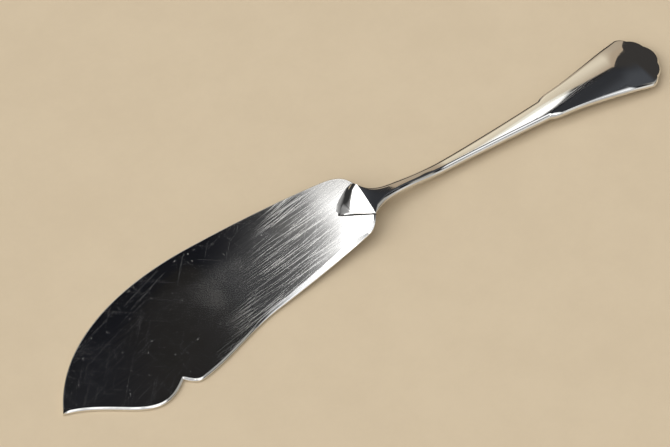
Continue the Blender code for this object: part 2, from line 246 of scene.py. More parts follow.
class Nodes:
    """A short way to lay out and join the nodes of one material or world."""

    def __init__(self, tree: bpy.types.NodeTree) -> None:
        """Keep the tree that the nodes go into."""
        self.tree = tree

    def add(self, kind: str, inputs: dict | None = None, **settings: object) -> bpy.types.Node:
        """Add one node.

        Args:
            kind: Blender's type name of the node.
            inputs: Values or sockets for its inputs, by name or place.
            settings: Other settings of the node.

        Returns:
            The new node.
        """
        node = self.tree.nodes.new(kind)
        for key, value in settings.items():
            setattr(node, key, value)
        for key, value in (inputs or {}).items():
            self.put(value, node.inputs[key])
        return node

    def put(self, value: object, socket: Socket) -> None:
        """Set an input, or link it.

        Args:
            value: A value, or the socket to link from.
            socket: The input.
        """
        if isinstance(value, Socket):
            self.tree.links.new(value, socket)
        else:
            socket.default_value = value

    def math(self, operation: str, *values: object) -> Socket:
        """Work out one sum on sockets or numbers."""
        node = self.add("ShaderNodeMath", dict(enumerate(values)), operation=operation)
        return node.outputs[0]

    def ease(self, value: object, low: float, high: float, start: float = 0.0, end: float = 1.0) -> Socket:
        """Ease from one value to another.

        Args:
            value: What is read.
            low: Reading at which the easing starts.
            high: Reading at which it ends.
            start: Result up to low.
            end: Result from high on.

        Returns:
            A socket with the result.
        """
        inputs = {"Value": value, "From Min": low, "From Max": high, "To Min": start, "To Max": end}
        node = self.add("ShaderNodeMapRange", inputs, interpolation_type="SMOOTHSTEP")
        return node.outputs["Result"]

    def border(self, value: object, at: float, soft: float, start: float = 0.0, end: float = 1.0) -> Socket:
        """Ease from start to end across a soft border."""
        return self.ease(value, at - soft / 2, at + soft / 2, start, end)

    def mix(self, share: object, first: object, second: object) -> Socket:
        """Mix two colours by a share."""
        node = self.add("ShaderNodeMix", {0: share, 6: first, 7: second}, data_type="RGBA")
        return node.outputs[2]


def blank_material(name: str) -> tuple[bpy.types.Material, Nodes, bpy.types.Node, Socket]:
    """Start a material.

    Args:
        name: Name of the material.

    Returns:
        The material, its nodes, its shader and its Object coordinates.
    """
    material = bpy.data.materials.new(name)
    material.use_nodes = True
    nodes = Nodes(material.node_tree)
    shader = material.node_tree.nodes["Principled BSDF"]
    return material, nodes, shader, nodes.add("ShaderNodeTexCoord").outputs["Object"]


@dataclass(frozen=True)
class ScratchSet:
    """Scratches of one kind: how they are turned, how fine and long they are, how many show and how rough."""

    turn: float
    fineness: float
    stretch: float
    shows_above: float
    full_above: float
    rough: float
    seed: float
    heel_only: bool = False
    level: float = 0.0


@dataclass(frozen=True)
class PolishedSilver:
    """Polished silver with use marks: faint polishing waves, scratches, nicks and a worn haze."""

    bright: Colour = (0.83, 0.82, 0.80)
    dull: Colour = (0.77, 0.755, 0.72)
    gloss_rough: float = 0.025
    haze_rough: float = 0.055
    haze_fineness: float = 42.0
    haze_detail: float = 4.0
    haze_grain: float = 0.6
    haze_span: Pair = (0.45, 0.75)
    brush_turn: float = 6.0
    brush_fineness: float = 1100.0
    brush_stretch: float = 0.022
    brush_depth: float = 0.0000025
    nick_fineness: float = 650.0
    nick_stretch: float = 0.35
    nick_turns: tuple[float, ...] = (25.0, -50.0, 80.0)
    nick_size: Pair = (0.05, 0.15)
    nick_share: Pair = (0.82, 0.87)
    nick_rough: float = 0.17
    wear: float = 1.0
    worn_rough: float = 0.1
    worn_from: Pair = (-0.095, -0.03)
    worn_to: Pair = (-0.05, -0.024)
    worn_across: Pair = (0.008, 0.019)
    streaks_along: Pair = (-0.060, -0.037)
    streaks_lean: float = 1.1
    scratches: tuple[ScratchSet, ...] = (
        ScratchSet(2.0, 2900.0, 0.010, 0.65, 0.69, 0.18, 0.0, True),
        ScratchSet(6.0, 3500.0, 0.010, 0.65, 0.69, 0.21, 0.07, True),
        ScratchSet(11.0, 3100.0, 0.012, 0.67, 0.71, 0.24, 0.11, True),
        ScratchSet(-38.0, 2000.0, 0.03, 0.72, 0.76, 0.085, 0.23, level=MID_CELL),
        ScratchSet(48.0, 2000.0, 0.03, 0.72, 0.76, 0.085, 0.37, level=MID_CELL),
        ScratchSet(-75.0, 2200.0, 0.03, 0.72, 0.76, 0.08, 0.53, level=MID_CELL),
        ScratchSet(20.0, 2000.0, 0.03, 0.72, 0.76, 0.085, 0.71, level=MID_CELL),
    )
    # painted shade: near-black colour mixed in where the seam attribute is set, standing for the shade along
    # the foot's near side
    seam_shade_tone: Colour = (0.035, 0.032, 0.030)
    seam_rough: float = 0.35

    def material(self, name: str) -> bpy.types.Material:
        """Make the material.

        Args:
            name: Name of the material.

        Returns:
            The material, laid out in nodes on Object coordinates.
        """
        material, nodes, shader, place = blank_material(name)
        shader.inputs["Metallic"].default_value = 1.0
        inputs = {"Scale": self.haze_fineness, "Detail": self.haze_detail, "Roughness": self.haze_grain}
        haze = nodes.add("ShaderNodeTexNoise", {"Vector": place, **inputs})
        haze_share = nodes.ease(haze.outputs["Fac"], *self.haze_span)
        tone = nodes.mix(haze_share, (*self.bright, 1.0), (*self.dull, 1.0))
        # painted shade: the seam attribute darkens the colour along the foot's near side
        seam = nodes.add("ShaderNodeAttribute", attribute_name=SEAM_SHADE).outputs["Fac"]
        nodes.put(nodes.mix(seam, tone, (*self.seam_shade_tone, 1.0)), shader.inputs["Base Color"])
        brush = self.lines(nodes, place, self.brush_turn, self.brush_fineness, self.brush_stretch)
        bump = nodes.add("ShaderNodeBump", {"Height": brush, "Distance": self.brush_depth})
        nodes.put(bump.outputs["Normal"], shader.inputs["Normal"])
        rough = nodes.ease(haze_share, 0.0, 1.0, self.gloss_rough, self.haze_rough)
        rough = self.used(nodes, place, rough)
        rough = nodes.math("MAXIMUM", rough, nodes.math("MULTIPLY", seam, self.seam_rough))
        nodes.put(rough, shader.inputs["Roughness"])
        return material

    def used(self, nodes: Nodes, place: Socket, rough: Socket) -> Socket:
        """Add the marks of use to the polish.

        Args:
            nodes: The material's nodes.
            place: Object coordinates.
            rough: Roughness of the unworn polish.

        Returns:
            A socket with the roughness of worn haze, scratches and nicks.
        """
        axes = nodes.add("ShaderNodeSeparateXYZ", {0: place}).outputs
        leaned = nodes.math("SUBTRACT", axes["X"], nodes.math("MULTIPLY", axes["Y"], self.streaks_lean))
        streaked = nodes.ease(leaned, *self.streaks_along)
        worn = nodes.ease(axes["X"], *self.worn_from)
        worn = nodes.math("MULTIPLY", worn, nodes.ease(axes["X"], *self.worn_to, 1.0, 0.0))
        worn = nodes.math("MULTIPLY", worn, nodes.ease(axes["Y"], *self.worn_across, 1.0, 0.0))
        rough = nodes.math("ADD", rough, nodes.math("MULTIPLY", worn, self.worn_rough * self.wear))
        for kind in self.scratches:
            drawn = self.lines(nodes, place, kind.turn, kind.fineness, kind.stretch, kind.seed, kind.level)
            line = nodes.ease(drawn, kind.shows_above, kind.full_above, 0.0, kind.rough * self.wear)
            line = nodes.math("MULTIPLY", line, streaked) if kind.heel_only else line
            rough = nodes.math("MAXIMUM", rough, line)
        for turn in self.nick_turns:
            rough = nodes.math("MAXIMUM", rough, self.nicks(nodes, place, turn))
        return rough

    def lines(
        self, nodes: Nodes, place: Socket, turn: float, fineness: float, stretch: float,
        seed: float = 0.0, level: float = 0.0,
    ) -> Socket:
        """Draw long noise along one direction.

        Args:
            nodes: The material's nodes.
            place: Object coordinates.
            turn: Direction of the lines in degrees from the piece's length.
            fineness: Scale of the noise across the lines.
            stretch: Share of that scale along the lines.
            seed: Shift in metres that sets one kind of line apart from another.
            level: Where the noise is cut through, as a share of one of its cells.

        Returns:
            A socket with the noise.
        """
        drawn = self.drawn_out(nodes, place, turn, stretch, seed, level / fineness)
        inputs = {"Vector": drawn, "Scale": fineness, "Detail": 0.0}
        return nodes.add("ShaderNodeTexNoise", inputs).outputs["Fac"]

    def nicks(self, nodes: Nodes, place: Socket, turn: float) -> Socket:
        """Scatter short nicks along one direction.

        Args:
            nodes: The material's nodes.
            place: Object coordinates.
            turn: Direction of the nicks in degrees from the piece's length.

        Returns:
            A socket with the roughness of the nicks.
        """
        drawn = self.drawn_out(nodes, place, turn, self.nick_stretch)
        inputs = {"Vector": drawn, "Scale": self.nick_fineness}
        cells = nodes.add("ShaderNodeTexVoronoi", inputs, voronoi_dimensions="2D").outputs
        spot = nodes.ease(cells["Distance"], *self.nick_size, self.nick_rough * self.wear, 0.0)
        return nodes.math("MULTIPLY", spot, nodes.ease(cells["Color"], *self.nick_share))

    def drawn_out(
        self, nodes: Nodes, place: Socket, turn: float, stretch: float, seed: float = 0.0, level: float = 0.0
    ) -> Socket:
        """Draw places out along one direction in plan, the same at every height.

        Args:
            nodes: The material's nodes.
            place: Object coordinates.
            turn: The direction in degrees from the piece's length.
            stretch: Share of the scale along it.
            seed: Shift in metres in plan.
            level: Height in metres that all places are given.

        Returns:
            A socket with the places.
        """
        inputs = {"Vector": place, "Rotation": (0.0, 0.0, math.radians(-turn)), "Location": (seed, seed, 0.0)}
        turned = nodes.add("ShaderNodeMapping", inputs)
        inputs = {"Vector": turned.outputs[0], "Scale": (stretch, 1.0, 0.0), "Location": (0.0, 0.0, level)}
        return nodes.add("ShaderNodeMapping", inputs).outputs[0]


@dataclass(frozen=True)
class PaleBoard:
    """The plain pale board that the server lies on."""

    tone: Colour = (0.669, 0.549, 0.386)
    deep_tone: Colour = (0.640, 0.522, 0.365)
    roughness: float = 0.9
    specular: float = 0.2
    cloud_fineness: float = 30.0
    cloud_detail: float = 6.0
    cloud_grain: float = 0.75
    cloud_span: Pair = (0.3, 0.7)

    def material(self, name: str) -> bpy.types.Material:
        """Make the material, with a very slight unevenness of tone.

        Args:
            name: Name of the material.

        Returns:
            The material.
        """
        material, nodes, shader, place = blank_material(name)
        shader.inputs["Roughness"].default_value = self.roughness
        shader.inputs["Specular IOR Level"].default_value = self.specular
        inputs = {"Scale": self.cloud_fineness, "Detail": self.cloud_detail, "Roughness": self.cloud_grain}
        cloud = nodes.add("ShaderNodeTexNoise", {"Vector": place, **inputs})
        share = nodes.ease(cloud.outputs["Fac"], *self.cloud_span)
        tone = nodes.mix(share, (*self.tone, 1.0), (*self.deep_tone, 1.0))
        nodes.put(tone, shader.inputs["Base Color"])
        return material


@dataclass
class Blade:
    """The thin serving blade: convex spine, notched lower edge, heel swept up to the handle."""

    length: float = 125.8
    tip_drop: float = 13.1
    tip_spine_heading: float = -63.0
    tip_edge_heading: float = 14.0
    tip_blunt: float = 0.35
    crest_from_heel: float = 57.0
    crest_height: float = 20.1
    spine_front_pull: float = 1.075
    spine_heel_heading: float = 84.0
    spine_heel_pull: float = 1.38
    spine_corner: Pair = (8.3, 15.6)
    spine_corner_heading: float = 11.0
    edge_heel_heading: float = -56.0
    edge_corner: Pair = (6.4, -10.8)
    edge_corner_heading: float = -9.5
    edge_bend: Pair = (45.6, -16.9)
    edge_bend_heading: float = -8.3
    belly_from_tip: float = 44.8
    belly_drop: float = 26.4
    belly_heading: float = -8.0
    notch_from_tip: float = 39.3
    notch_drop: float = 23.0
    notch_heel_side_heading: float = 54.0
    notch_tip_side_heading: float = -38.0
    lobe_from_tip: float = 29.1
    lobe_drop: float = 27.6
    ogee_from_tip: float = 18.6
    ogee_drop: float = 23.4
    ogee_heading: float = 35.0
    heel_half: float = 6.1
    heel_skew: float = 7.5
    thickness: float = 1.4
    cut_drop_at_heel: float = 0.55
    cut_drop_at_tip: float = 0.3
    cut_drop_at_corner: float = 0.25
    under_rise: float = 0.45
    under_inset: float = 0.6
    rim_round: float = 0.12
    spine_rim: float = 0.9
    spine_roll: float = 0.4
    cut_at_heel: float = 2.8
    cut_at_tip: float = 0.7
    cut_run_out: float = 6.0
    flat_from_heel: float = 62.0
    heel_rise: float = 5.0
    spine_fall_width: float = 10.0
    spine_fall_slope: float = 0.9
    edge_fall_width: float = 12.0
    edge_fall_slope: float = 0.6
    width_share: float = 0.4
    least_fall: float = 0.01
    cut_parts: tuple[float, ...] = (0.3, 0.6, 0.9, 0.97)
    cut_clear: float = 1.04
    face_clear: float = 1.12
    roll_clear: float = 1.1
    round_steps: int = 6
    step: float = 0.5
    rows: int = 44
    crease: float = 40.0
    origin: Pair = (0.0, 0.0)
    finish: PolishedSilver = PolishedSilver()

    def place(self) -> None:
        """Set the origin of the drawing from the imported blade's box."""
        low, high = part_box("blade")
        self.origin = (low[0] / MM + self.length - self.tip_blunt, high[1] / MM - self.crest_height)

    def heel_end(self, half: float) -> Pair:
        """Find where the turned heel line reaches a half width, as distance from heel and Y."""
        turn = math.radians(self.heel_skew)
        return (-half * math.sin(turn), half * math.cos(turn))

    def spine(self) -> np.ndarray:
        """Draw the convex upper outline.

        Returns:
            Points from heel to tip, as distance from heel and Y.
        """
        heel = self.heel_end(self.heel_half)
        crest = (self.crest_from_heel, self.crest_height)
        tip = (self.length, -self.tip_drop)
        corner, corner_heading = self.spine_corner, self.spine_corner_heading
        parts = [
            np.array([heel]),
            flow(heel, self.spine_heel_heading, corner, corner_heading, self.step, self.spine_heel_pull),
            flow(corner, corner_heading, crest, 0.0, self.step),
            flow(crest, 0.0, tip, self.tip_spine_heading, self.step, self.spine_front_pull),
        ]
        return np.concatenate(parts)

    def edge(self) -> np.ndarray:
        """Draw the lower outline with its notch and lobe.

        Returns:
            Points from heel to tip, as distance from heel and Y.
        """
        heel = self.heel_end(-self.heel_half)
        belly = (self.length - self.belly_from_tip, -self.belly_drop)
        notch = (self.length - self.notch_from_tip, -self.notch_drop)
        lobe = (self.length - self.lobe_from_tip, -self.lobe_drop)
        ogee = (self.length - self.ogee_from_tip, -self.ogee_drop)
        tip = (self.length, -self.tip_drop)
        corner, bend = self.edge_corner, self.edge_bend
        fine = self.step / 2
        parts = [
            np.array([heel]),
            flow(heel, self.edge_heel_heading, corner, self.edge_corner_heading, fine),
            flow(corner, self.edge_corner_heading, bend, self.edge_bend_heading, self.step),
            flow(bend, self.edge_bend_heading, belly, self.belly_heading, self.step),
            flow(belly, self.belly_heading, notch, self.notch_heel_side_heading, fine),
            flow(notch, self.notch_tip_side_heading, lobe, 0.0, fine),
            flow(lobe, 0.0, ogee, self.ogee_heading, self.step),
            flow(ogee, self.ogee_heading, tip, self.tip_edge_heading, self.step),
        ]
        return np.concatenate(parts)

    def under(self, distance: np.ndarray) -> np.ndarray:
        """Height of the underside, flat in front and swept up to the heel."""
        return self.heel_rise * np.maximum(0.0, 1.0 - distance / self.flat_from_heel) ** 2

    def top(self, distance: np.ndarray) -> np.ndarray:
        """Height of the upper face."""
        return self.under(distance) + self.thickness

    def rings(self) -> np.ndarray:
        """Set out the sections from heel to tip.

        Returns:
            Points in millimetres, as ring, place around the ring, and axis.
        """
        edge = self.edge()
        share = run_share(edge)
        spine = along_line(self.spine(), share)
        edge_in = inward(edge, turn_left=True)
        spine_in = inward(spine, turn_left=False)
        width = np.linalg.norm(spine - edge, axis=1)
        swept = np.maximum(0.0, 1.0 - edge[:, 0] / self.flat_from_heel)
        cut = self.cut_at_tip + (self.cut_at_heel - self.cut_at_tip) * swept
        past_corner = np.clip((edge[:, 0] - self.edge_corner[0]) / self.cut_run_out, 0.0, 1.0)
        cut = self.cut_at_tip + (cut - self.cut_at_tip) * past_corner
        slim = np.minimum(1.0, self.width_share * width / (cut + self.spine_roll))
        turns = np.linspace(0.0, math.pi / 2, self.round_steps)
        rows: list[tuple[np.ndarray, np.ndarray]] = []
        spine_fall = np.minimum(self.spine_fall_width, self.width_share * width) + self.least_fall
        edge_fall = np.minimum(self.edge_fall_width * swept, self.width_share * width) + self.least_fall

        def face(from_spine: np.ndarray, from_edge: np.ndarray) -> np.ndarray:
            """Find the height of the upper face over the underside.

            Args:
                from_spine: Distances from the spine.
                from_edge: Distances from the lower edge.

            Returns:
                Heights in millimetres.
            """
            spine_part = np.maximum(0.0, 1.0 - from_spine / spine_fall)
            edge_part = np.maximum(0.0, 1.0 - from_edge / edge_fall)
            spine_drop = 0.5 * spine_fall * slope(self.spine_fall_slope) * spine_part**2
            edge_drop = 0.5 * edge_fall * slope(self.edge_fall_slope) * edge_part**2
            return self.thickness - spine_drop - edge_drop

        def add(inset: np.ndarray, height: np.ndarray, side: Side) -> None:
            """Add one row of points along one side of the blade."""
            base, way = (edge, edge_in) if side is Side.EDGE else (spine, spine_in)
            rows.append((base + way * (inset * slim)[:, None], height + 0 * width))

        edge_top, spine_top = face(width, 0 * width), face(0 * width, width)
        cut_drop = self.cut_drop_at_tip + (self.cut_drop_at_heel - self.cut_drop_at_tip) * swept
        kept, rim = self.cut_drop_at_corner, self.rim_round
        rim_top = edge_top - cut_drop * (kept + (1 - kept) * past_corner)
        for turn in turns:
            add(rim * (1 - np.cos(turn)) + 0 * cut, rim_top - rim * (1 - np.sin(turn)), Side.EDGE)
        for part in self.cut_parts:
            add(rim + (cut - rim) * part, rim_top + (edge_top - rim_top) * part, Side.EDGE)
        add(cut * self.cut_clear, edge_top, Side.EDGE)
        inner_edge = edge + edge_in * (cut * self.face_clear * slim)[:, None]
        inner_spine = spine + spine_in * (self.spine_roll * self.roll_clear * slim)[:, None]
        for part in np.linspace(0.0, 1.0, self.rows):
            plan = inner_edge + (inner_spine - inner_edge) * part
            rows.append((plan, face(width * (1 - part), width * part)))
        for turn in turns[::-1]:
            height = self.spine_rim + (spine_top - self.spine_rim) * np.sin(turn)
            add(self.spine_roll * (1 - np.cos(turn)) + 0 * cut, height, Side.SPINE)
        low, deep = self.under_rise, self.under_inset
        for turn in turns[::2]:
            add(deep * (1 - np.cos(turn)) + 0 * cut, low * (1 - np.sin(turn)), Side.SPINE)
        under_edge = edge + edge_in * (deep * self.roll_clear * slim)[:, None]
        under_spine = spine + spine_in * (deep * self.roll_clear * slim)[:, None]
        for part in np.linspace(0.0, 1.0, self.rows // UNDER_SHARE):
            rows.append((under_spine + (under_edge - under_spine) * part, 0 * width))
        for turn in turns[::-2]:
            add(deep * (1 - np.cos(turn)) + 0 * cut, low * (1 - np.sin(turn)), Side.EDGE)
        return self.stack(rows)

    def stack(self, rows: list[tuple[np.ndarray, np.ndarray]]) -> np.ndarray:
        """Turn rows along the blade into rings around it.

        Args:
            rows: Plan points and heights over the underside, for each row.

        Returns:
            Points in millimetres, as ring, place around the ring, and axis.
        """
        rings = np.empty((len(rows[0][1]), len(rows), 3))
        for column, (plan, height) in enumerate(rows):
            rings[:, column, 0] = self.origin[0] - plan[:, 0]
            rings[:, column, 1] = self.origin[1] + plan[:, 1]
            rings[:, column, 2] = self.under(plan[:, 0]) + height
        return rings

    def build(self) -> bpy.types.Object:
        """Make the blade's mesh and put it in the node's place.

        Returns:
            The blade.
        """
        self.place()
        piece = skin("blade_polished", self.rings(), self.crease)
        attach(piece, "root")
        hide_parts("blade")
        return piece

    def dress(self, piece: bpy.types.Object) -> None:
        """Give the blade its polished finish."""
        piece.data.materials.clear()
        piece.data.materials.append(self.finish.material("blade_worn_polish"))


@dataclass
class Handle:
    """The solid handle: foot on the blade's heel, waisted shaft and wide scalloped end."""

    length: float = 116.5
    ridge_half: float = 6.1
    neck_heading: float = -45.0
    neck: Pair = (11.5, 2.3)
    neck_end_heading: float = -2.0
    waist: Pair = (25.0, 2.2)
    shoulder_from_end: float = 45.8
    shoulder_half: float = 4.05
    shoulder_heading: float = 3.5
    step_run: float = 4.9
    step_half: float = 5.45
    step_start_heading: float = 32.0
    step_end_heading: float = 5.0
    corner_from_end: float = 9.2
    corner_half: float = 11.5
    corner_heading: float = 9.0
    outer_cusp_from_end: float = 5.3
    outer_cusp_half: float = 9.1
    outer_cusp_heading: float = -62.0
    inner_cusp_from_end: float = 1.7
    inner_cusp_half: float = 4.4
    outer_lobe_bulge: float = 0.75
    ridge_stand: float = 0.62
    neck_under: float = 3.8
    neck_thickness: float = 2.6
    shaft_low_from_ridge: float = 31.0
    shaft_low_under: float = 1.6
    shaft_low_thickness: float = 2.7
    arch_from_end: float = 17.0
    arch_under: float = 2.3
    arch_thickness: float = 3.0
    corner_under: float = 1.7
    corner_thickness: float = 3.08
    end_under: float = 0.0
    end_thickness: float = 2.5
    ridge_crown: float = 2000.0
    neck_crown: float = 40.0
    waist_crown: float = 25.0
    shoulder_crown: float = 62.0
    arch_crown: float = 42.0
    end_crown: float = 60.0
    neck_roll: float = 5.5
    throat_from_ridge: float = 19.0
    throat_roll: float = 11.0
    waist_roll: float = 9.0
    shoulder_roll: float = 3.6
    arch_roll: float = 2.0
    edge_cut: float = 0.42
    edge_cut_slope: float = 50.0
    cut_from_ridge: float = 6.0
    lip_at_ridge: float = 0.1
    cut_parts: Line = (
        (0.0, 1.0), (0.04, 0.92), (0.12, 0.82), (0.5, 0.42), (0.86, 0.08), (0.95, 0.02), (1.0, 0.0),
    )
    belly_inset: float = 2.4
    belly_share: float = 0.45
    belly_clear: float = 1.05
    fall_width: float = 1.0
    fall_share: float = 0.6
    fall_run: float = 2.5
    fall_clear: float = 1.08
    neck_fall: Pair = (7.0, 26.0)
    shaft_fall: Pair = (3.0, 22.0)
    shaft_fall_from_ridge: float = 45.0
    far_end_fall: Pair = (1.0, 14.0)
    near_end_fall: Pair = (0.5, 4.0)
    end_fall_past_shoulder: float = 4.0
    fall_stop_from_end: float = 12.0
    fall_stop_run: float = 9.0
    fall_parts: tuple[float, ...] = (0.08, 0.2, 0.35, 0.5, 0.65, 0.8, 0.92, 1.0)
    foot_shares: tuple[float, ...] = (0.0, 0.12, 0.35, 0.45, 0.60, 0.85, 1.0)
    foot_rim: Line = (
        (-10.8, 1.2), (-10.5, 2.9), (-8.6, 5.1), (-7.5, 5.9), (-5.6, 7.0), (-2.8, 8.4), (-0.5, 8.9),
    )
    foot_break: Line = (
        (-10.7, 1.1), (-9.8, 1.75), (-7.9, 3.25), (-6.7, 4.15), (-4.9, 5.5), (-2.2, 7.4), (-0.3, 8.2),
    )
    foot_table: Line = (
        (-10.7, 1.1), (-9.3, 0.1), (-6.85, -1.5), (-6.5, 0.6), (-4.6, 3.0), (-1.8, 6.0), (0.3, 7.1),
    )
    foot_near: Line = (
        (-10.7, 1.1), (-9.3, 0.1), (-6.8, -1.65), (-5.8, -2.4), (-3.9, -3.85), (-1.9, -5.25), (-0.7, -6.1),
    )
    table_stand: float = 0.62
    table_roll: float = 2.5
    table_rise: float = 1.7
    apex_stand: float = 0.15
    break_stand: float = 0.28
    break_rise: float = 0.3
    break_rise_from: float = 0.6
    flare_bow: float = 1.8
    facet_bow: float = 1.5
    near_slope: float = 70.0
    apex_break_share: float = 0.6
    brow_share: float = 0.8
    least_reach: float = 1e-6
    rim_sink: float = 0.02
    foot_sections: int = 90
    seam_width: float = 0.35
    seam_stand_share: float = 0.7
    seam_fade: float = 2.0
    foot_bed: float = 0.1
    step: float = 0.4
    round_steps: int = 7
    rows: int = 40
    crease: float = 40.0
    finish: PolishedSilver = PolishedSilver(wear=0.35, brush_depth=0.000001)

    def half_outline(self) -> np.ndarray:
        """Draw the half width from the ridge to the end.

        Returns:
            Points, as distance from ridge and half width.
        """
        ridge = (0.0, self.ridge_half)
        shoulder = (self.length - self.shoulder_from_end, self.shoulder_half)
        step = (shoulder[0] + self.step_run, self.step_half)
        corner = (self.length - self.corner_from_end, self.corner_half)
        outer_cusp = (self.length - self.outer_cusp_from_end, self.outer_cusp_half)
        inner_cusp = (self.length - self.inner_cusp_from_end, self.inner_cusp_half)
        mirrored_cusp = (inner_cusp[0], -self.inner_cusp_half)
        fine = self.step / 2
        middle_lobe = bulged(inner_cusp, mirrored_cusp, self.inner_cusp_from_end, fine)
        parts = [
            np.array([ridge]),
            flow(ridge, self.neck_heading, self.neck, self.neck_end_heading, self.step),
            flow(self.neck, self.neck_end_heading, self.waist, 0.0, self.step),
            flow(self.waist, 0.0, shoulder, self.shoulder_heading, self.step),
            flow(shoulder, self.step_start_heading, step, self.step_end_heading, fine),
            flow(step, self.step_end_heading, corner, self.corner_heading, self.step),
            flow(corner, self.corner_heading, outer_cusp, self.outer_cusp_heading, fine),
            bulged(outer_cusp, inner_cusp, self.outer_lobe_bulge, fine),
            middle_lobe[: len(middle_lobe) // 2],
        ]
        return np.concatenate(parts)

    def lines(self, blade: Blade) -> tuple[Callable, ...]:
        """Set out the side view.

        Args:
            blade: The blade that the foot sits on.

        Returns:
            Underside height, crown height, crown curve, lean in plan and roll,
            each over the distance from ridge.
        """
        ridge_top = blade.heel_rise + blade.thickness + self.ridge_stand
        arch = self.length - self.arch_from_end
        corner = self.length - self.corner_from_end
        shoulder = self.length - self.shoulder_from_end
        places = (0.0, self.neck[0], self.shaft_low_from_ridge, arch, corner, self.length)
        unders = (self.neck_under, self.shaft_low_under, self.arch_under, self.corner_under, self.end_under)
        thick = (
            self.neck_thickness, self.shaft_low_thickness, self.arch_thickness,
            self.corner_thickness, self.end_thickness,
        )
        crowns = (ridge_top, *(low + stand for low, stand in zip(unders, thick)))
        under = smooth_line(list(zip(places, (blade.heel_rise, *unders))))
        crown = smooth_line(list(zip(places, crowns)))
        places = (0.0, self.neck[0], self.waist[0], shoulder, arch, self.length)
        radii = (
            self.ridge_crown, self.neck_crown, self.waist_crown,
            self.shoulder_crown, self.arch_crown, self.end_crown,
        )
        curve = smooth_line([(place, 1.0 / radius) for place, radius in zip(places, radii)])
        skew = slope(blade.heel_skew)
        heel_slope = 2.0 * blade.heel_rise / blade.flat_from_heel - slope(self.table_rise)
        places = (self.neck[0], self.throat_from_ridge, self.waist[0], shoulder, arch)
        rolls = (self.neck_roll, self.throat_roll, self.waist_roll, self.shoulder_roll, self.arch_roll)
        rolled = [(place, slope(turn)) for place, turn in zip(places, rolls)]
        first_roll = -slope(self.table_roll) - heel_slope * skew
        roll = smooth_line([(0.0, first_roll), *rolled, (self.length, 0.0)])
        lean = smooth_line([(0.0, skew), (self.neck[0], 0.0)])
        return under, crown, curve, lean, roll

    def shaft_rings(self, blade: Blade) -> np.ndarray:
        """Set out the sections from the ridge to the end.

        Args:
            blade: The blade that the foot sits on.

        Returns:
            Points in millimetres, as ring, place around the ring, and axis.
        """
        half = self.half_outline()
        inner = inward(half, turn_left=False)
        under, crown, curve, lean, roll = self.lines(blade)

        def top(x: np.ndarray, y: np.ndarray) -> np.ndarray:
            """Height of the crowned and slightly rolled upper face."""
            return crown(x) - roll(x) * y - 0.5 * curve(x) * y**2

        side = crown(half[:, 0]) - 0.5 * curve(half[:, 0]) * half[:, 1] ** 2 - under(half[:, 0])
        kept = self.lip_at_ridge
        lip = self.edge_cut * (kept + (1 - kept) * np.clip(half[:, 0] / self.cut_from_ridge, 0.0, 1.0))
        lip_drop = lip * slope(self.edge_cut_slope)
        belly = self.belly_share * side
        belly_inset = np.minimum(self.belly_inset, self.belly_share * half[:, 1])
        fall = np.minimum(self.fall_width, self.fall_share * half[:, 1])
        fall = fall * np.clip(half[:, 0] / self.fall_run, 0.0, 1.0)
        stop = (self.length - self.fall_stop_from_end - half[:, 0]) / self.fall_stop_run
        fall = fall * np.clip(1.0 + stop, 0.0, 1.0)
        shoulder = self.length - self.shoulder_from_end
        past_shoulder = shoulder + self.end_fall_past_shoulder
        fall_places = (self.waist[0], self.shaft_fall_from_ridge, shoulder, past_shoulder)

        def fallen(sign: float, part: float) -> np.ndarray:
            """Find the drop below the crowned face along one side.

            Args:
                sign: FAR or NEAR.
                part: Share of the way from the edge cut to the inner line of the fall.

            Returns:
                Drops in millimetres.
            """
            out, last = 1.0 - part, self.far_end_fall if sign > 0 else self.near_end_fall
            shallow, steep = (
                np.interp(half[:, 0], fall_places, np.tan(np.radians(angles)))
                for angles in zip(self.neck_fall, self.shaft_fall, self.shaft_fall, last)
            )
            return fall * (shallow * out + 0.5 * (steep - shallow) * out**2)

        turns = np.linspace(0.0, math.pi / 2, self.round_steps)
        rows: list[np.ndarray] = []

        def add(sign: float, inset: np.ndarray, drop: np.ndarray | None, lift: np.ndarray | None) -> None:
            """Add one row of points along one side of the handle.

            Args:
                sign: FAR or NEAR.
                inset: Distance in from the outline.
                drop: Drop below the upper face, or None on the underside.
                lift: Height over the underside, or None on the upper face.
            """
            plan = half + inner * inset[:, None]
            x, y = plan[:, 0], sign * np.maximum(plan[:, 1], 0.0)
            level = under(x) + lift if drop is None else top(x, y) - drop
            rows.append(np.stack([x + lean(x) * y, y, level], axis=1))

        for inset, drop in self.cut_parts:
            add(FAR, lip * inset, lip_drop * drop + fallen(FAR, 0.0), None)
        for part in self.fall_parts:
            add(FAR, lip + fall * part, fallen(FAR, part), None)
        core = half + inner * (lip + fall * self.fall_clear)[:, None]
        for part in np.linspace(FAR, NEAR, self.rows):
            x, y = core[:, 0], part * np.maximum(core[:, 1], 0.0)
            rows.append(np.stack([x + lean(x) * y, y, top(x, y)], axis=1))
        for part in self.fall_parts[::-1]:
            add(NEAR, lip + fall * part, fallen(NEAR, part), None)
        for inset, drop in self.cut_parts[::-1]:
            add(NEAR, lip * inset, lip_drop * drop + fallen(NEAR, 0.0), None)
        for turn in turns[::2]:
            add(NEAR, belly_inset * (1 - math.cos(turn)), None, belly * (1 - math.sin(turn)))
        base = half + inner * (belly_inset * self.belly_clear)[:, None]
        for part in np.linspace(NEAR, FAR, self.rows // UNDER_SHARE):
            x, y = base[:, 0], part * np.maximum(base[:, 1], 0.0)
            rows.append(np.stack([x + lean(x) * y, y, under(x)], axis=1))
        for turn in turns[::-2]:
            add(FAR, belly_inset * (1 - math.cos(turn)), None, belly * (1 - math.sin(turn)))
        return np.stack(rows, axis=1)

    def foot_line(self, line: Line, share: float) -> np.ndarray:
        """Read one of the foot's plan lines at a share of the way from apex to ridge."""
        return np.array([np.interp(share, self.foot_shares, column) for column in zip(*line)])

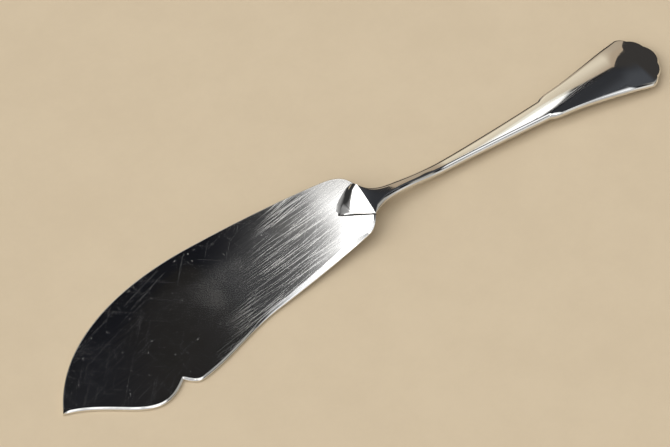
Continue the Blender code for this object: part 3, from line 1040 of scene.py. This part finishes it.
    def table_height(self, plan: np.ndarray) -> np.ndarray:
        """Height of the foot's flat table over the blade, at plan points."""
        roll, rise = slope(self.table_roll), slope(self.table_rise)
        return self.table_stand + roll * plan[..., 1] - rise * plan[..., 0]

    def foot_rings(self, blade: Blade, first: np.ndarray) -> np.ndarray:
        """Set out the sections of the foot, from its apex to just before the ridge.

        Args:
            blade: The blade that the foot sits on.
            first: The shaft's first section, at the ridge.

        Returns:
            Points in millimetres, as ring, place around the ring, and axis.
        """
        around = len(first)
        top_count = 2 * len(self.cut_parts) + 2 * len(self.fall_parts) + self.rows
        flare_parts = np.array([0.0, 0.02, 0.1, 0.3, 0.5, 0.7, 0.85, 0.94, 0.98])
        facet_parts = np.array(
            [0.0, 0.02, 0.06, 0.15, 0.25, 0.35, 0.45, 0.55, 0.65, 0.75, 0.85, 0.94, 0.98, 1.0]
        )
        wall_parts = np.array([0.0, 0.06, 0.2, 0.4, 0.6, 0.8, 0.94, 1.0])
        table_count = top_count - len(flare_parts) - len(facet_parts) - len(wall_parts)
        table_parts = np.concatenate([[0.01, 0.03], np.linspace(0.06, 0.97, table_count - 3), [0.99]])
        table_from = self.foot_shares[2]
        rings = []
        for share in np.linspace(0.0, 1.0, self.foot_sections):
            rim, break_, table, near = (
                self.foot_line(line, share)
                for line in (self.foot_rim, self.foot_break, self.foot_table, self.foot_near)
            )
            grown = min(1.0, share / table_from)
            table_top = self.apex_stand + (self.table_height(table) - self.apex_stand) * grown
            apex_break = self.apex_stand * self.apex_break_share
            break_top = apex_break + (self.break_stand - apex_break) * grown
            rise = self.break_rise * max(0.0, share - self.break_rise_from)
            break_top += rise / (1.0 - self.break_rise_from)
            near_top = min(table_top, float(self.table_height(near))) if grown == 1.0 else table_top
            across = near - table
            reach = float(np.linalg.norm(across))
            lean_in = near_top / slope(self.near_slope)
            brow = near - across / max(reach, self.least_reach) * min(lean_in, self.brow_share * reach)
            plans = [
                rim + (break_ - rim) * flare_parts[:, None],
                break_ + (table - break_) * facet_parts[:, None],
                table + (brow - table) * table_parts[:, None],
                brow + (near - brow) * wall_parts[:, None],
            ]
            bow = 1.0 - (1.0 - facet_parts) ** self.facet_bow
            heights = [
                break_top * flare_parts**self.flare_bow,
                break_top + (table_top - break_top) * bow,
                table_top + (near_top - table_top) * table_parts,
                near_top * (1.0 - wall_parts),
            ]
            plan, height = np.concatenate(plans), np.concatenate(heights)
            height[0] = height[-1] = -self.rim_sink
            ring = np.empty((around, 3))
            ring[:top_count] = np.stack([plan[:, 0], plan[:, 1], blade.top(-plan[:, 0]) + height], axis=1)
            back = np.linspace(1.0, 0.0, around - top_count + 2)[1:-1]
            bed = rim + (near - rim) * back[:, None]
            ring[top_count:] = np.stack([bed[:, 0], bed[:, 1], blade.top(-bed[:, 0]) - self.foot_bed], axis=1)
            rings.append(ring)
        return np.stack(rings)

    def paint_seam_shade(self, piece: bpy.types.Object, blade: Blade) -> None:
        """Paint shade along the near side of the foot: a near-black band in the colour where the foot meets
        the blade and shade falls.

        Args:
            piece: The handle.
            blade: The blade that the foot sits on.
        """
        places = np.empty(len(piece.data.vertices) * 3)
        piece.data.vertices.foreach_get("co", places)
        places = places.reshape(-1, 3) / MM
        x, y = places[:, 0] - blade.origin[0], places[:, 1] - blade.origin[1]
        line = np.array(self.foot_near)
        seam_y = np.interp(x, line[:, 0], line[:, 1])
        stand = places[:, 2] - blade.top(-x)
        near = np.clip(1.0 - np.abs(y - seam_y) / self.seam_width, 0.0, 1.0)
        low = stand < self.table_stand * self.seam_stand_share
        on_foot = (x > line[0, 0] - self.seam_width) & (x < line[-1, 0]) & low
        mark = piece.data.attributes.new(SEAM_SHADE, "FLOAT", "POINT")
        mark.data.foreach_set("value", np.where(on_foot, np.minimum(1.0, self.seam_fade * near), 0.0))

    def build(self, blade: Blade) -> bpy.types.Object:
        """Make the handle's mesh and put it in the node's place.

        Args:
            blade: The blade that the foot sits on.

        Returns:
            The handle.
        """
        shaft = self.shaft_rings(blade)
        rings = np.concatenate([self.foot_rings(blade, shaft[0]), shaft])
        rings[:, :, 0] += blade.origin[0]
        rings[:, :, 1] += blade.origin[1]
        piece = skin("handle_polished", rings, self.crease)
        # painted shade along the foot's near side, stored as a point attribute
        self.paint_seam_shade(piece, blade)
        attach(piece, "root")
        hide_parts("handle")
        return piece

    def dress(self, piece: bpy.types.Object) -> None:
        """Give the handle its polished finish."""
        piece.data.materials.clear()
        piece.data.materials.append(self.finish.material("handle_worn_polish"))


def direction(bearing: float, height: float) -> Vector:
    """Unit direction at a bearing, from +Y towards +X, and a height, both in degrees."""
    turn, rise = math.radians(bearing), math.radians(height)
    return Vector((math.cos(rise) * math.sin(turn), math.cos(rise) * math.cos(turn), math.sin(rise)))


@dataclass(frozen=True)
class Patch:
    """A four-sided patch of the surroundings, by bearing and height in degrees, with soft sides."""

    bearing: Pair
    height: Pair
    soft_bearing: Pair
    soft_height: Pair
    tone: Colour
    skew: float = 0.0

    def cover(self, nodes: Nodes, bearing: Socket, height: Socket) -> Socket:
        """Work out how much the patch covers in each direction.

        Args:
            nodes: The world's nodes.
            bearing: Bearing looked in, from +Y towards +X.
            height: Height looked at.

        Returns:
            A socket that is 1 inside the patch and 0 outside.
        """
        share: Socket | None = None
        leaned = nodes.math("SUBTRACT", height, self.height[0])
        leaned = nodes.math("SUBTRACT", bearing, nodes.math("MULTIPLY", leaned, self.skew))
        across = (leaned, self.bearing, self.soft_bearing)
        for value, (low, high), soft in (across, (height, self.height, self.soft_height)):
            up = nodes.border(value, low, soft[0])
            down = nodes.border(value, high, soft[1], 1.0, 0.0)
            side = nodes.math("MULTIPLY", up, down)
            share = side if share is None else nodes.math("MULTIPLY", share, side)
        return share


@dataclass(frozen=True)
class Glow:
    """The bright opening overhead, which fades outward and is cut off to the right by a dark side."""

    bearing: float = -90.0
    height: float = 79.0
    right: float = 32.6
    right_soft: float = 1.6
    back: float = -150.0
    back_soft: float = 20.0
    tone: Colour = (2.2, 2.2, 2.2)
    stops: Line = (
        (33.6, 1.0), (34.3, 0.52), (34.9, 0.335), (35.3, 0.24), (35.7, 0.17), (36.1, 0.122),
        (36.5, 0.088), (36.9, 0.066), (37.3, 0.051), (37.7, 0.043), (38.1, 0.034), (38.5, 0.026),
        (38.9, 0.02), (39.5, 0.014), (40.2, 0.007), (41.0, 0.0035), (42.5, 0.0),
    )

    def cover(self, nodes: Nodes, way: Socket, bearing: Socket) -> Socket:
        """Work out how bright the glow is in each direction.

        Args:
            nodes: The world's nodes.
            way: Direction looked in.
            bearing: Its bearing in degrees.

        Returns:
            A socket with the share of the glow's tone.
        """
        middle = direction(self.bearing, self.height)
        toward = nodes.add("ShaderNodeVectorMath", {0: way, 1: middle}, operation="DOT_PRODUCT")
        angle = nodes.math("MULTIPLY", nodes.math("ARCCOSINE", toward.outputs["Value"]), DEGREES)
        first, last = self.stops[0][0], self.stops[-1][0]
        place = nodes.math("DIVIDE", nodes.math("SUBTRACT", angle, first), last - first)
        ramp = nodes.add("ShaderNodeValToRGB", {"Fac": place})
        while len(ramp.color_ramp.elements) < len(self.stops):
            ramp.color_ramp.elements.new(1.0)
        for element, (stop, share) in zip(ramp.color_ramp.elements, self.stops):
            element.position = (stop - first) / (last - first)
            element.color = (share, share, share, 1.0)
        left = nodes.border(bearing, self.right, self.right_soft, 1.0, 0.0)
        front = nodes.border(bearing, self.back, self.back_soft)
        return nodes.math("MULTIPLY", ramp.outputs["Color"], nodes.math("MULTIPLY", left, front))


@dataclass(frozen=True)
class LightCap:
    """A round patch of the surroundings, seen in the metal and lighting it."""

    bearing: float
    height: float
    core: float
    fade: float
    tone: Colour

    def cover(self, nodes: Nodes, way: Socket) -> Socket:
        """Work out how much the patch covers in each direction.

        Args:
            nodes: The world's nodes.
            way: Direction looked in.

        Returns:
            A socket that is 1 inside the patch and 0 outside.
        """
        middle = direction(self.bearing, self.height)
        toward = nodes.add("ShaderNodeVectorMath", {0: way, 1: middle}, operation="DOT_PRODUCT")
        core, fade = math.cos(math.radians(self.core)), math.cos(math.radians(self.fade))
        return nodes.ease(toward.outputs["Value"], fade, core)


@dataclass
class Studio:
    """Board, surroundings and camera."""

    target: tuple[float, float, float] = (-6.831, 5.882, 0.0)
    elevation: float = 53.369
    turn: float = 33.914
    distance: float = 1636.5
    lens: float = 268.66
    sensor: float = 36.0
    board_size: float = 3000.0
    low_tone: Colour = (0.56, 0.46, 0.33)
    fill_tone: Colour = (0.55, 0.55, 0.55)
    low_fade: Pair = (8.0, 20.0)
    patches: tuple[Patch, ...] = (
        Patch((14.0, 125.0), (1.0, 80.0), (4.0, 40.0), (4.0, 8.0), (0.009, 0.0095, 0.012)),
        Patch((34.0, 100.0), (1.0, 49.0), (2.0, 30.0), (4.0, 12.0), (0.045, 0.042, 0.040)),
        Patch((-45.0, 14.0), (10.0, 55.0), (10.0, 4.0), (8.0, 6.0), (0.34, 0.34, 0.34)),
        Patch((-45.0, 14.0), (10.0, 43.0), (10.0, 4.0), (8.0, 14.0), (0.04, 0.04, 0.04)),
        Patch((34.5, 64.0), (47.0, 62.0), (2.0, 8.0), (10.0, 4.0), (0.035, 0.037, 0.042)),
        Patch((50.0, 80.0), (46.0, 62.0), (20.0, 10.0), (12.0, 4.0), (0.07, 0.075, 0.085)),
        Patch((18.0, 37.6), (28.0, 45.6), (4.0, 0.8), (3.0, 1.5), (0.48, 0.385, 0.28), -0.1),
        Patch((18.0, 42.5), (16.0, 30.0), (4.0, 0.8), (3.0, 2.0), (0.48, 0.395, 0.295), -0.43),
        Patch((12.0, 29.4), (30.0, 46.0), (4.0, 10.0), (14.0, 0.8), (0.95, 0.86, 0.68)),
        Patch((30.0, 34.5), (53.0, 55.6), (1.6, 2.0), (1.6, 1.0), (0.016, 0.015, 0.014)),
        Patch((12.0, 30.4), (45.2, 50.6), (4.0, 0.7), (0.9, 1.2), (0.95, 0.92, 0.8), 0.553),
        Patch((13.0, 31.4), (47.0, 50.6), (4.0, 0.7), (2.0, 1.2), (1.6, 1.6, 1.6), 0.553),
        Patch((41.0, 97.0), (64.0, 78.0), (5.0, 22.0), (5.0, 4.0), (1.15, 1.18, 1.22)),
        Patch((28.0, 150.0), (76.0, 95.0), (3.0, 20.0), (5.0, 1.0), (2.2, 2.2, 2.2)),
        Patch((79.0, 130.0), (30.0, 57.0), (9.0, 20.0), (5.0, 4.0), (0.42, 0.41, 0.38)),
        Patch((-105.0, -42.0), (14.0, 62.0), (16.0, 12.0), (10.0, 10.0), (3.2, 3.2, 3.2)),
    )
    glow: Glow = Glow()
    behind: LightCap = LightCap(165.0, 62.0, 13.0, 19.0, (1.3, 1.3, 1.3))
    overhead: LightCap = LightCap(-90.0, 79.0, 13.0, 18.0, (0.6, 0.61, 0.63))
    viewer: LightCap = LightCap(160.0, 18.0, 8.0, 13.0, (0.8, 0.78, 0.73))
    finish: PaleBoard = PaleBoard()

    def build(self) -> None:
        """Set up the board, the surroundings and the camera."""
        self.lay_board()
        self.light()
        self.stand_camera()

    def lay_board(self) -> None:
        """Lay the pale board under the server."""
        bpy.ops.object.select_all(action="DESELECT")
        bpy.ops.mesh.primitive_plane_add(size=self.board_size * MM)
        board = bpy.context.object
        board.name = "board"
        board.data.materials.append(self.finish.material("pale_board"))

    def light(self) -> None:
        """Surround the server with soft light patches on a pale tone."""
        world = bpy.data.worlds.new("surroundings")
        bpy.context.scene.world = world
        world.use_nodes = True
        nodes = Nodes(world.node_tree)
        way = nodes.add("ShaderNodeTexCoord").outputs["Generated"]
        axes = nodes.add("ShaderNodeSeparateXYZ", {0: way}).outputs
        height = nodes.math("MULTIPLY", nodes.math("ARCSINE", axes["Z"]), DEGREES)
        bearing = nodes.math("MULTIPLY", nodes.math("ARCTAN2", axes["X"], axes["Y"]), DEGREES)
        tone = nodes.mix(nodes.ease(height, *self.low_fade), (*self.low_tone, 1.0), (*self.fill_tone, 1.0))
        for patch in self.patches:
            tone = nodes.mix(patch.cover(nodes, bearing, height), tone, (*patch.tone, 1.0))
        tone = nodes.mix(self.glow.cover(nodes, way, bearing), tone, (*self.glow.tone, 1.0))
        for cap in (self.behind, self.overhead, self.viewer):
            tone = nodes.mix(cap.cover(nodes, way), tone, (*cap.tone, 1.0))
        nodes.put(tone, world.node_tree.nodes["Background"].inputs["Color"])

    def stand_camera(self) -> None:
        """Stand the camera at the photograph's viewing angle."""
        turn, rise = math.radians(self.turn), math.radians(self.elevation)
        right = Vector((math.cos(turn), -math.sin(turn), 0.0))
        away = Vector((math.sin(turn), math.cos(turn), 0.0))
        up = away * math.sin(rise) + Vector((0.0, 0.0, math.cos(rise)))
        back = right.cross(up)
        spot = Vector(self.target) * MM + back * self.distance * MM
        bpy.ops.object.camera_add(location=spot)
        camera = bpy.context.object
        camera.name = "camera"
        camera.matrix_world = Matrix((right, up, back)).transposed().to_4x4()
        camera.location = spot
        camera.data.lens = self.lens
        camera.data.sensor_width = self.sensor
        camera.data.sensor_fit = "HORIZONTAL"
        bpy.context.scene.camera = camera


def main() -> None:
    """Build the server's pieces and the studio, and log the face count of each piece."""
    logging.basicConfig(level=logging.INFO, format="%(message)s")
    blade = Blade()
    blade_piece = blade.build()
    blade.dress(blade_piece)
    log.info("blade: %d faces", len(blade_piece.data.polygons))
    handle = Handle()
    handle_piece = handle.build(blade)
    handle.dress(handle_piece)
    log.info("handle: %d faces", len(handle_piece.data.polygons))
    Studio().build()
    bpy.context.scene.view_settings.view_transform = "Standard"
    bpy.context.view_layer.update()


if __name__ == "__main__":
    main()
